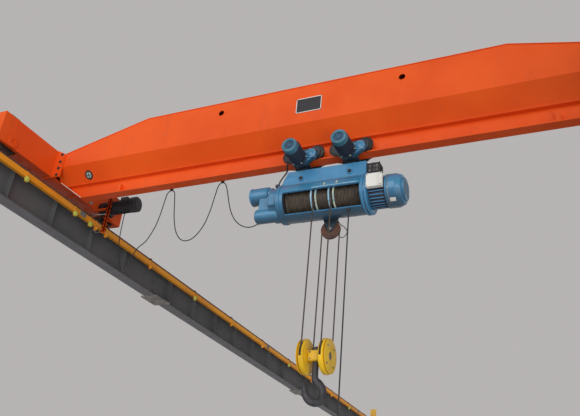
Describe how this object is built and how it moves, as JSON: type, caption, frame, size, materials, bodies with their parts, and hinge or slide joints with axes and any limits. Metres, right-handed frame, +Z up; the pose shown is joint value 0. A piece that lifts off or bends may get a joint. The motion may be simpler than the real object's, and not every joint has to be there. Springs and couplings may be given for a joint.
{
  "type": "overhead bridge crane",
  "caption": "Single girder overhead travelling crane on two rail runways, with a wire rope hoist on a motorised trolley, hook block, cable loops and pendant control.",
  "frame": {"origin": "centre of the underside of the left seat plate that carries a joint of two runway beams", "axes": "+X along the girder towards the right runway, +Y along the runways, +Z up"},
  "size_m": [7.8, 18.4, 5.535],
  "materials": {
    "girder_paint": "semi-gloss orange paint",
    "runway_paint": "dull dark grey paint",
    "rail_steel": "rusted rail steel",
    "bare_steel": "dull steel",
    "conductor_orange": "orange plastic housing",
    "knob_green": "yellow-green plastic",
    "stop_paint": "yellow paint",
    "black_paint": "black enamel",
    "buffer_rubber": "black rubber",
    "plate_black": "black plate with a pale border",
    "wheel_iron": "dark worn iron",
    "hoist_blue": "blue hammered paint",
    "beam_blue": "light blue paint",
    "motor_navy": "dark navy paint",
    "box_white": "off-white paint",
    "sheave_rust": "rusty red-brown iron",
    "rope_steel": "greased wire rope",
    "guide_steel": "pale worn paint",
    "block_yellow": "yellow paint",
    "hook_steel": "charcoal forged steel",
    "cable_black": "black rubber sheath",
    "pendant_yellow": "yellow plastic"
  },
  "bodies": {
    "runway": {"left_runway_beams": "runway_paint", "right_runway_beams": "runway_paint", "left_rail": "rail_steel", "right_rail": "rail_steel", "seat_plates": "bare_steel", "runway_end_stops": "stop_paint", "conductor_bar": "conductor_orange", "conductor_hangers": "bare_steel", "conductor_knobs": "knob_green"},
    "bridge": {"girder_web_near": "girder_paint", "girder_web_far": "girder_paint", "girder_top_plate": "girder_paint", "girder_end_plates": "girder_paint", "track_beam": "girder_paint", "girder_joint_plates": "girder_paint", "carriage_left_near": "girder_paint", "carriage_left_far": "girder_paint", "carriage_right_near": "girder_paint", "carriage_right_far": "girder_paint", "carriage_buffers": "buffer_rubber", "wheel_axles": "bare_steel", "drive_gearboxes": "black_paint", "drive_motors": "black_paint", "collector_bracket": "girder_paint", "rating_plate": "plate_black", "trolley_stops": "girder_paint", "festoon_wire": "bare_steel", "festoon_cable": "cable_black"},
    "wheels_near": {"bridge_wheels_near": "wheel_iron"},
    "wheels_far": {"bridge_wheels_far": "wheel_iron"},
    "carrier_1": {"cable_carrier_1": "black_paint"},
    "carrier_2": {"cable_carrier_2": "black_paint"},
    "trolley": {"bogie_frames": "hoist_blue", "travel_gearboxes": "hoist_blue", "travel_motors": "motor_navy", "suspension_beam": "beam_blue", "hoist_casing": "hoist_blue", "hoist_gearbox": "hoist_blue", "hoist_motor": "motor_navy", "motor_cover": "hoist_blue", "terminal_box": "box_white", "control_box": "black_paint", "rope_guides": "guide_steel", "equaliser_sheave": "sheave_rust", "rope_falls_front": "rope_steel", "rope_falls_back": "rope_steel", "pendant_cable": "cable_black", "pendant_box": "pendant_yellow"},
    "wheels_1": {"trolley_wheels_1": "wheel_iron"},
    "wheels_2": {"trolley_wheels_2": "wheel_iron"},
    "wheels_3": {"trolley_wheels_3": "wheel_iron"},
    "wheels_4": {"trolley_wheels_4": "wheel_iron"},
    "drum": {"rope_drum": "bare_steel", "drum_rope": "rope_steel"},
    "hook_block": {"sheave_covers": "block_yellow", "block_axle": "bare_steel", "block_rope": "rope_steel"},
    "block_sheaves": {"hook_sheaves": "sheave_rust"},
    "hook": {"hook": "hook_steel"}
  },
  "joints": [
    {"name": "bridge_travel", "type": "slide", "parent": "runway", "child": "bridge", "axis": [0, 1, 0], "range_m": [-1.95, 13.15]},
    {"name": "near_wheels_turn", "type": "hinge", "parent": "bridge", "child": "wheels_near", "pos_m": [0, -3.6, 0.7131], "axis": [1, 0, 0], "range_deg": [-5700, 5700]},
    {"name": "far_wheels_turn", "type": "hinge", "parent": "bridge", "child": "wheels_far", "pos_m": [0, -1.6, 0.7131], "axis": [1, 0, 0], "range_deg": [-5700, 5700]},
    {"name": "trolley_travel", "type": "slide", "parent": "bridge", "child": "trolley", "axis": [1, 0, 0], "range_m": [-2.28, 1.82], "deforming": ["festoon_cable"]},
    {"name": "carrier_1_slide", "type": "slide", "parent": "bridge", "child": "carrier_1", "axis": [1, 0, 0], "range_m": [-1.2, 1]},
    {"name": "carrier_2_slide", "type": "slide", "parent": "bridge", "child": "carrier_2", "axis": [1, 0, 0], "range_m": [-1.9, 1.5]},
    {"name": "trolley_wheels_1_turn", "type": "hinge", "parent": "trolley", "child": "wheels_1", "pos_m": [3.54, -2.6, 0.4701], "axis": [0, 1, 0], "range_deg": [-1750, 1750]},
    {"name": "trolley_wheels_2_turn", "type": "hinge", "parent": "trolley", "child": "wheels_2", "pos_m": [3.86, -2.6, 0.4701], "axis": [0, 1, 0], "range_deg": [-1750, 1750]},
    {"name": "trolley_wheels_3_turn", "type": "hinge", "parent": "trolley", "child": "wheels_3", "pos_m": [4.105, -2.6, 0.4701], "axis": [0, 1, 0], "range_deg": [-1750, 1750]},
    {"name": "trolley_wheels_4_turn", "type": "hinge", "parent": "trolley", "child": "wheels_4", "pos_m": [4.425, -2.6, 0.4701], "axis": [0, 1, 0], "range_deg": [-1750, 1750]},
    {"name": "hook_lift", "type": "slide", "parent": "trolley", "child": "hook_block", "axis": [0, 0, 1], "range_m": [-2.7, 0.85], "deforming": ["rope_falls_front", "rope_falls_back"]},
    {"name": "drum_turn", "type": "hinge", "parent": "trolley", "child": "drum", "pos_m": [3.9, -2.6, -0.117], "axis": [1, 0, 0], "range_deg": [-700, 2100]},
    {"name": "block_sheaves_turn", "type": "hinge", "parent": "hook_block", "child": "block_sheaves", "pos_m": [4, -2.6, -1.839], "axis": [1, 0, 0], "range_deg": [-350, 1100]},
    {"name": "hook_swivel", "type": "hinge", "parent": "hook_block", "child": "hook", "pos_m": [4, -2.6, -1.839], "axis": [0, 0, 1], "continuous": true}
  ],
  "couplings": [
    {"joint": "near_wheels_turn", "follows": "bridge_travel", "rad_per_m": -7.4074},
    {"joint": "far_wheels_turn", "follows": "bridge_travel", "rad_per_m": -7.4074},
    {"joint": "carrier_1_slide", "follows": "trolley_travel", "ratio": 0.4542},
    {"joint": "carrier_2_slide", "follows": "trolley_travel", "ratio": 0.7173},
    {"joint": "trolley_wheels_1_turn", "follows": "trolley_travel", "rad_per_m": 12.987},
    {"joint": "trolley_wheels_2_turn", "follows": "trolley_travel", "rad_per_m": 12.987},
    {"joint": "trolley_wheels_3_turn", "follows": "trolley_travel", "rad_per_m": 12.987},
    {"joint": "trolley_wheels_4_turn", "follows": "trolley_travel", "rad_per_m": 12.987},
    {"joint": "drum_turn", "follows": "hook_lift", "rad_per_m": -13.333},
    {"joint": "block_sheaves_turn", "follows": "hook_lift", "rad_per_m": -6.6667}
  ]
}
